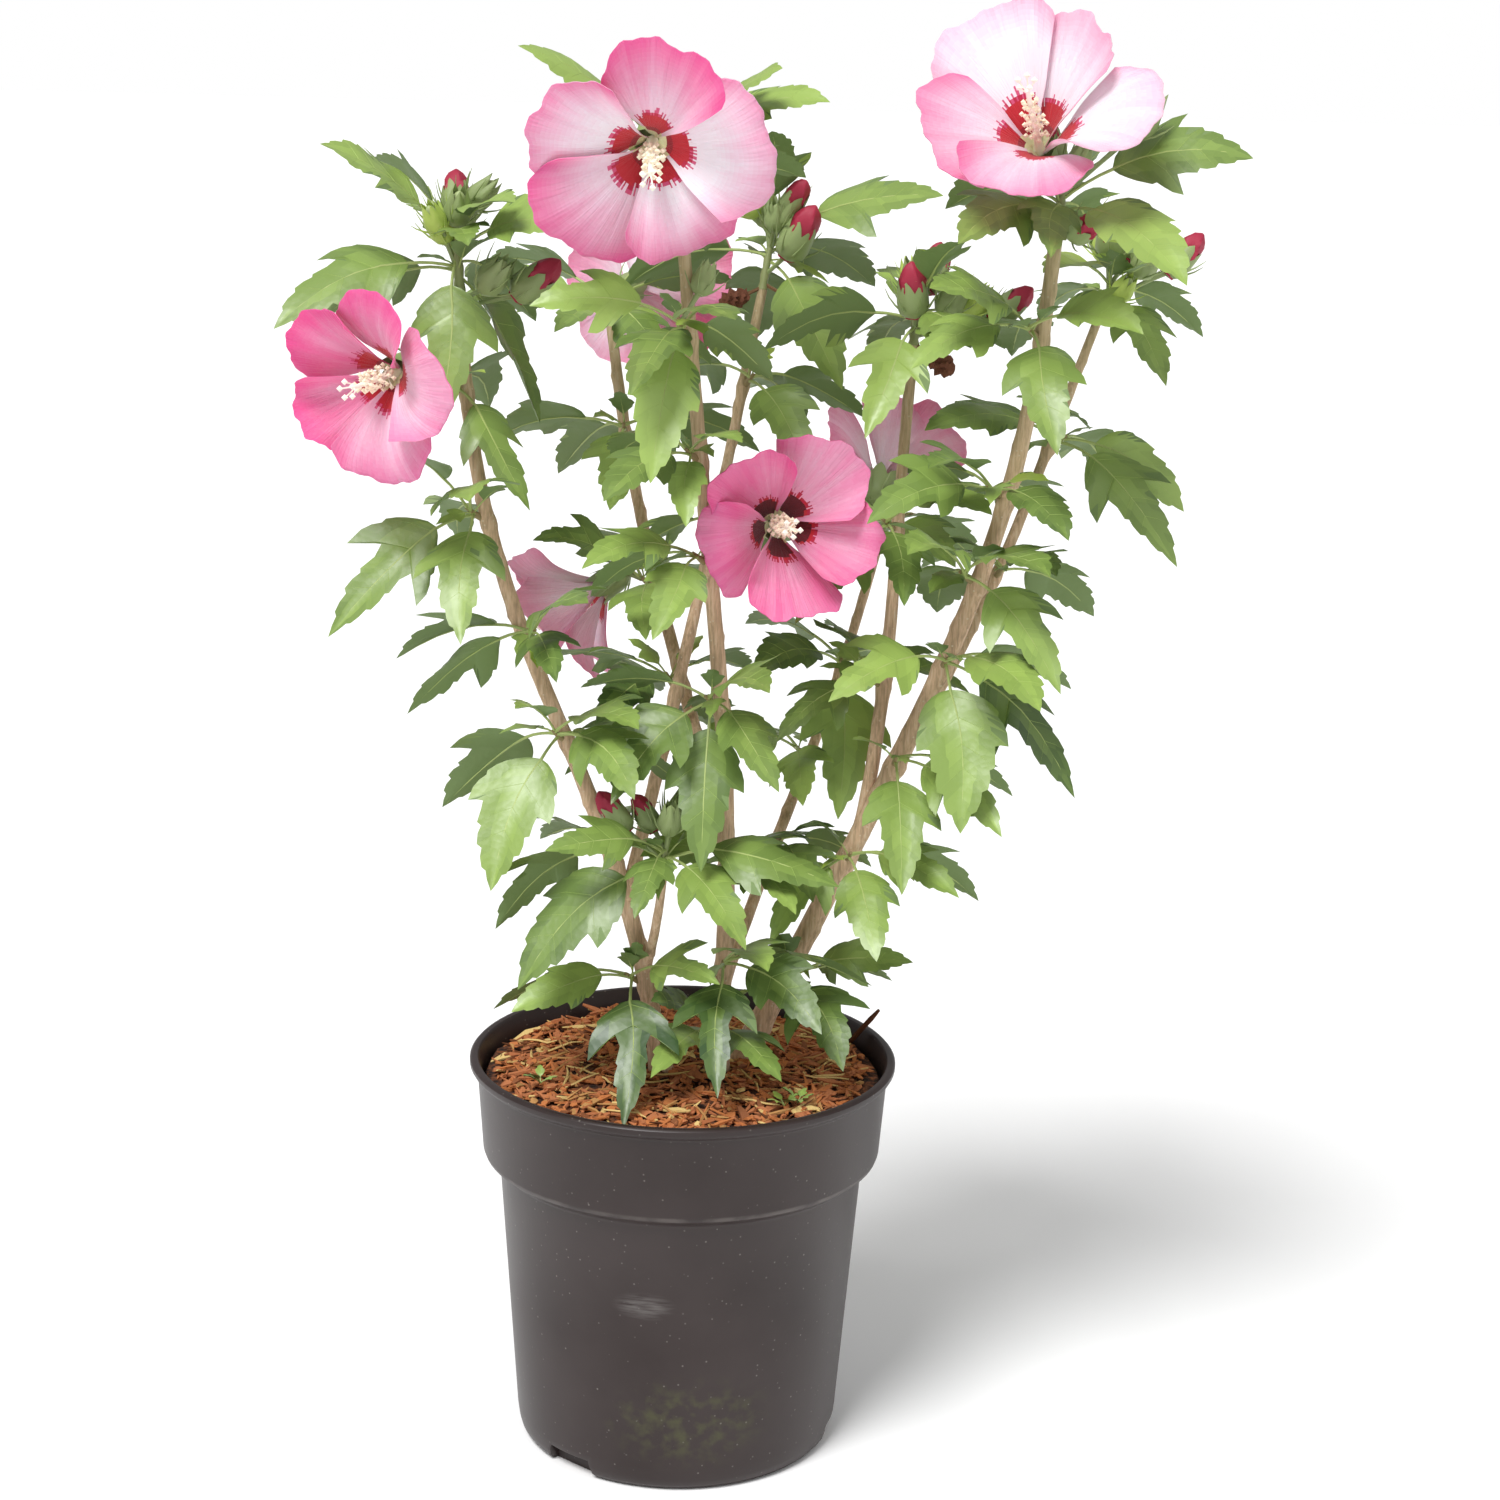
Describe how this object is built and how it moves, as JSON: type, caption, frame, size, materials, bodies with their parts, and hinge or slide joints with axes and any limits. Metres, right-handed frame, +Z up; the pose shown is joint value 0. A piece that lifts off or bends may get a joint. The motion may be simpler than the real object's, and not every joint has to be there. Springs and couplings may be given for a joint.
{
  "type": "potted flowering shrub",
  "caption": "Potted hibiscus shrub with slender branching stems, lobed green leaves, green buds and pink blooms with crimson throats, in a round black nursery pot.",
  "frame": {"origin": "centre of the pot's flat underside", "axes": "+Z up along the pot axis, -Y towards the front of the shrub, +X to its right as seen from the front"},
  "size_m": [0.3994, 0.2265, 0.6351],
  "materials": {
    "pot_plastic": "satin moulded",
    "compost": "rough loose bark fibre",
    "bark": "matte, lengthwise streaks",
    "foliage": "soft leaf sheen",
    "petal": "matte petal"
  },
  "bodies": {
    "root": {"pot": "pot_plastic", "soil": "compost", "left_stem": "bark", "centre_stem": "bark", "right_stem": "bark", "left_shoot": "bark", "middle_bough": "bark", "back_left_bough": "bark", "low_right_bough": "bark", "inner_right_bough": "bark", "outer_right_bough": "bark", "back_left_bloom": "petal", "back_left_crown": "petal", "back_left_lower": "foliage", "back_left_upper": "foliage", "centre_base": "foliage", "centre_crown": "petal", "centre_foot": "foliage", "centre_high": "foliage", "centre_lower": "foliage", "centre_middle": "foliage", "centre_neck": "foliage", "centre_upper": "foliage", "inner_crown": "foliage", "inner_lower": "foliage", "inner_middle": "foliage", "left_back": "foliage", "left_bloom": "petal", "left_crown": "foliage", "left_foot": "foliage", "left_lower": "foliage", "left_middle": "foliage", "left_upper": "foliage", "low_right_crown": "petal", "low_right_lower": "foliage", "low_right_middle": "foliage", "low_right_upper": "foliage", "middle_bloom": "petal", "middle_crown": "foliage", "middle_lower": "foliage", "middle_upper": "foliage", "outer_crown": "foliage", "outer_lower": "foliage", "outer_upper": "foliage", "right_base": "foliage", "right_crown": "petal", "right_fork": "foliage", "right_low": "foliage", "right_lower": "foliage", "right_middle": "foliage", "right_neck": "foliage", "right_upper": "foliage", "shoot_crown": "foliage"}
  },
  "joints": []
}
